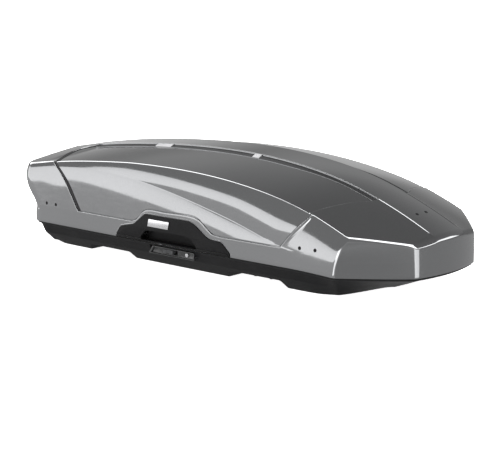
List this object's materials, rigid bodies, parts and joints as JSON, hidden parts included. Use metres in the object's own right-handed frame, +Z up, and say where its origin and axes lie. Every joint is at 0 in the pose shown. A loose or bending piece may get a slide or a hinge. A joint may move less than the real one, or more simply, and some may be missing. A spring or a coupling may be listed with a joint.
{
  "type": "roof cargo box",
  "caption": "Streamlined car-roof cargo box: silver lid opening from either side over a black tray, with grip handles, locks and crossbar clamps.",
  "frame": {"origin": "centre of the overall box in plan, at the underside of the tray's feet", "axes": "+X to the nose, +Y to the left side, +Z up"},
  "size_m": [2.0656, 0.8844, 0.4739],
  "materials": {
    "lid_paint": "gloss metallic grey cap sheet",
    "black_plastic": "fine grained black",
    "handle_plastic": "satin black",
    "dark_trim": "satin dark grey",
    "grey_plastic": "satin mid grey",
    "emblem_metal": "satin",
    "aluminium": "extruded satin",
    "steel": "brushed",
    "rubber": "matt",
    "webbing": "woven"
  },
  "bodies": {
    "base": {"tray_rear": "black_plastic", "tray_middle": "black_plastic", "tray_front": "black_plastic", "lock_bezel_right": "dark_trim", "lock_bezel_left": "dark_trim", "nose_seal": "rubber", "clamp_rail_rear_right": "aluminium", "clamp_rail_rear_left": "aluminium", "clamp_rail_front_right": "aluminium", "clamp_rail_front_left": "aluminium", "load_strap": "webbing", "strap_buckle": "handle_plastic"},
    "lid": {"lid_shell": "lid_paint", "lid_brace_rear": "black_plastic", "lid_brace_front": "black_plastic", "grip_handle_right": "handle_plastic", "emblem_right": "emblem_metal", "groove_trim_right": "dark_trim", "pillar_trim_right": "dark_trim", "groove_cap_rear_right": "grey_plastic", "groove_cap_front_right": "grey_plastic", "grip_handle_left": "handle_plastic", "emblem_left": "emblem_metal", "groove_trim_left": "dark_trim", "pillar_trim_left": "dark_trim", "groove_cap_rear_left": "grey_plastic", "groove_cap_front_left": "grey_plastic"},
    "frame_right": {"hook_rail_right": "aluminium", "lifter_arm_rear_right": "aluminium", "lifter_arm_front_right": "aluminium", "lifter_spring_rear_right": "steel", "lifter_spring_front_right": "steel"},
    "frame_left": {"hook_rail_left": "aluminium", "lifter_arm_rear_left": "aluminium", "lifter_arm_front_left": "aluminium", "lifter_spring_rear_left": "steel", "lifter_spring_front_left": "steel"},
    "slider_right": {"release_slider_right": "grey_plastic"},
    "bar_right": {"lock_bar_right": "steel"},
    "key_right": {"lock_cylinder_right": "steel"},
    "clamp_rear_right": {"clamp_housing_rear_right": "handle_plastic"},
    "knob_rear_right": {"clamp_knob_rear_right": "grey_plastic"},
    "claw_rear_right_a": {"clamp_claw_rear_right_a": "dark_trim"},
    "claw_rear_right_b": {"clamp_claw_rear_right_b": "dark_trim"},
    "clamp_front_right": {"clamp_housing_front_right": "handle_plastic"},
    "knob_front_right": {"clamp_knob_front_right": "grey_plastic"},
    "claw_front_right_a": {"clamp_claw_front_right_a": "dark_trim"},
    "claw_front_right_b": {"clamp_claw_front_right_b": "dark_trim"},
    "slider_left": {"release_slider_left": "grey_plastic"},
    "bar_left": {"lock_bar_left": "steel"},
    "key_left": {"lock_cylinder_left": "steel"},
    "clamp_rear_left": {"clamp_housing_rear_left": "handle_plastic"},
    "knob_rear_left": {"clamp_knob_rear_left": "grey_plastic"},
    "claw_rear_left_a": {"clamp_claw_rear_left_a": "dark_trim"},
    "claw_rear_left_b": {"clamp_claw_rear_left_b": "dark_trim"},
    "clamp_front_left": {"clamp_housing_front_left": "handle_plastic"},
    "knob_front_left": {"clamp_knob_front_left": "grey_plastic"},
    "claw_front_left_a": {"clamp_claw_front_left_a": "dark_trim"},
    "claw_front_left_b": {"clamp_claw_front_left_b": "dark_trim"}
  },
  "joints": [
    {"name": "open_right", "type": "hinge", "parent": "base", "child": "frame_right", "pos_m": [0, 0.434, 0.1], "axis": [-1, 0, 0], "range_deg": [0, 60]},
    {"name": "open_left", "type": "hinge", "parent": "frame_right", "child": "lid", "pos_m": [0, -0.434, 0.1], "axis": [1, 0, 0], "range_deg": [0, 60]},
    {"name": "left_frame_stay", "type": "hinge", "parent": "lid", "child": "frame_left", "pos_m": [0, 0.434, 0.1], "axis": [1, 0, 0], "range_deg": [0, 60]},
    {"name": "lock_bar_slide_right", "type": "slide", "parent": "base", "child": "bar_right", "axis": [1, 0, 0], "range_m": [0, 0.018], "stiffness_N_per_m": 250},
    {"name": "release_slide_right", "type": "slide", "parent": "base", "child": "slider_right", "axis": [1, 0, 0], "range_m": [0, 0.018]},
    {"name": "key_turn_right", "type": "hinge", "parent": "base", "child": "key_right", "pos_m": [0.013, -0.413, 0.072], "axis": [0, -1, 0], "range_deg": [0, 90]},
    {"name": "clamp_slide_rear_right", "type": "slide", "parent": "base", "child": "clamp_rear_right", "axis": [1, 0, 0], "range_m": [-0.034, 0.034]},
    {"name": "knob_turn_rear_right", "type": "hinge", "parent": "clamp_rear_right", "child": "knob_rear_right", "pos_m": [-0.447, -0.33, 0.064], "axis": [0, 0, 1], "range_deg": [0, 540]},
    {"name": "claw_a_rear_right", "type": "hinge", "parent": "clamp_rear_right", "child": "claw_rear_right_a", "pos_m": [-0.407, -0.33, 0.042], "axis": [0, -1, 0], "range_deg": [0, 18]},
    {"name": "claw_b_rear_right", "type": "hinge", "parent": "clamp_rear_right", "child": "claw_rear_right_b", "pos_m": [-0.487, -0.33, 0.042], "axis": [0, 1, 0], "range_deg": [0, 18]},
    {"name": "clamp_slide_front_right", "type": "slide", "parent": "base", "child": "clamp_front_right", "axis": [1, 0, 0], "range_m": [-0.034, 0.034]},
    {"name": "knob_turn_front_right", "type": "hinge", "parent": "clamp_front_right", "child": "knob_front_right", "pos_m": [0.353, -0.33, 0.068], "axis": [0, 0, 1], "range_deg": [0, 540]},
    {"name": "claw_a_front_right", "type": "hinge", "parent": "clamp_front_right", "child": "claw_front_right_a", "pos_m": [0.393, -0.33, 0.046], "axis": [0, -1, 0], "range_deg": [0, 18]},
    {"name": "claw_b_front_right", "type": "hinge", "parent": "clamp_front_right", "child": "claw_front_right_b", "pos_m": [0.313, -0.33, 0.046], "axis": [0, 1, 0], "range_deg": [0, 18]},
    {"name": "lock_bar_slide_left", "type": "slide", "parent": "base", "child": "bar_left", "axis": [1, 0, 0], "range_m": [0, 0.018], "stiffness_N_per_m": 250},
    {"name": "release_slide_left", "type": "slide", "parent": "base", "child": "slider_left", "axis": [1, 0, 0], "range_m": [0, 0.018]},
    {"name": "key_turn_left", "type": "hinge", "parent": "base", "child": "key_left", "pos_m": [0.013, 0.413, 0.072], "axis": [0, 1, 0], "range_deg": [0, 90]},
    {"name": "clamp_slide_rear_left", "type": "slide", "parent": "base", "child": "clamp_rear_left", "axis": [1, 0, 0], "range_m": [-0.034, 0.034]},
    {"name": "knob_turn_rear_left", "type": "hinge", "parent": "clamp_rear_left", "child": "knob_rear_left", "pos_m": [-0.447, 0.33, 0.064], "axis": [0, 0, 1], "range_deg": [0, 540]},
    {"name": "claw_a_rear_left", "type": "hinge", "parent": "clamp_rear_left", "child": "claw_rear_left_a", "pos_m": [-0.407, 0.33, 0.042], "axis": [0, -1, 0], "range_deg": [0, 18]},
    {"name": "claw_b_rear_left", "type": "hinge", "parent": "clamp_rear_left", "child": "claw_rear_left_b", "pos_m": [-0.487, 0.33, 0.042], "axis": [0, 1, 0], "range_deg": [0, 18]},
    {"name": "clamp_slide_front_left", "type": "slide", "parent": "base", "child": "clamp_front_left", "axis": [1, 0, 0], "range_m": [-0.034, 0.034]},
    {"name": "knob_turn_front_left", "type": "hinge", "parent": "clamp_front_left", "child": "knob_front_left", "pos_m": [0.353, 0.33, 0.068], "axis": [0, 0, 1], "range_deg": [0, 540]},
    {"name": "claw_a_front_left", "type": "hinge", "parent": "clamp_front_left", "child": "claw_front_left_a", "pos_m": [0.393, 0.33, 0.046], "axis": [0, -1, 0], "range_deg": [0, 18]},
    {"name": "claw_b_front_left", "type": "hinge", "parent": "clamp_front_left", "child": "claw_front_left_b", "pos_m": [0.313, 0.33, 0.046], "axis": [0, 1, 0], "range_deg": [0, 18]}
  ],
  "couplings": [
    {"joint": "left_frame_stay", "follows": "open_right", "ratio": 1},
    {"joint": "release_slide_right", "follows": "lock_bar_slide_right", "ratio": 1},
    {"joint": "claw_a_rear_right", "follows": "knob_turn_rear_right", "ratio": 0.033333},
    {"joint": "claw_b_rear_right", "follows": "knob_turn_rear_right", "ratio": 0.033333},
    {"joint": "claw_a_front_right", "follows": "knob_turn_front_right", "ratio": 0.033333},
    {"joint": "claw_b_front_right", "follows": "knob_turn_front_right", "ratio": 0.033333},
    {"joint": "release_slide_left", "follows": "lock_bar_slide_left", "ratio": 1},
    {"joint": "claw_a_rear_left", "follows": "knob_turn_rear_left", "ratio": 0.033333},
    {"joint": "claw_b_rear_left", "follows": "knob_turn_rear_left", "ratio": 0.033333},
    {"joint": "claw_a_front_left", "follows": "knob_turn_front_left", "ratio": 0.033333},
    {"joint": "claw_b_front_left", "follows": "knob_turn_front_left", "ratio": 0.033333}
  ]
}
